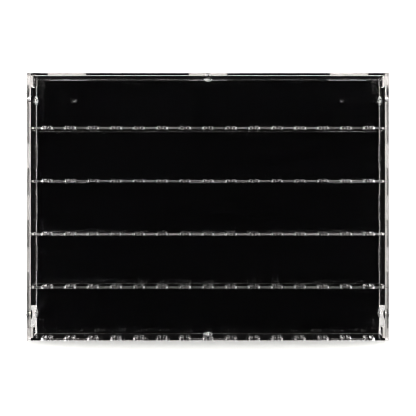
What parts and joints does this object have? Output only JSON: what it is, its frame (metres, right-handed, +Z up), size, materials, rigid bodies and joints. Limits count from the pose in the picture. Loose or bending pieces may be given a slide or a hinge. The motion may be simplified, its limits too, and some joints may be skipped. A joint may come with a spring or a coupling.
{
  "type": "figure display case",
  "caption": "Shallow clear acrylic display case with a gloss black back, level shelves with round studded stands for small toy figures, and a lift-off clear front.",
  "frame": {"origin": "under the middle of the case, at the height of the base's underside", "axes": "+X to the right seen from the front, +Y from the front to the back, +Z up"},
  "size_m": [0.507, 0.0524, 0.3698],
  "materials": {
    "clear_sheet": "clear acrylic sheet with polished edges",
    "front_sheet": "clear acrylic sheet with polished edges",
    "black_sheet": "gloss black acrylic sheet",
    "clear_stand": "clear moulded acrylic",
    "clear_locator": "clear acrylic with polished edges",
    "clear_peg": "clear moulded plastic",
    "clear_bumper": "soft clear plastic"
  },
  "bodies": {
    "case": {"base_panel": "clear_sheet", "top_panel": "clear_sheet", "left_side_panel": "clear_sheet", "right_side_panel": "clear_sheet", "shelf_1": "clear_sheet", "shelf_2": "clear_sheet", "shelf_3": "clear_sheet", "shelf_4": "clear_sheet", "back_panel": "black_sheet", "shelf_1_stands": "clear_stand", "shelf_2_stands": "clear_stand", "shelf_3_stands": "clear_stand", "shelf_4_stands": "clear_stand", "base_stands": "clear_stand", "top_stop_peg": "clear_peg", "base_stop_peg": "clear_peg", "left_stop_pegs": "clear_peg", "right_stop_pegs": "clear_peg", "left_bumper_dots": "clear_bumper", "right_bumper_dots": "clear_bumper"},
    "front": {"front_panel": "front_sheet", "upper_left_locator": "clear_locator", "upper_right_locator": "clear_locator", "lower_left_locator": "clear_locator", "lower_right_locator": "clear_locator"}
  },
  "joints": [
    {"name": "front_lift_off", "type": "slide", "parent": "case", "child": "front", "axis": [0, -1, 0], "range_m": [0, 0.08]}
  ]
}
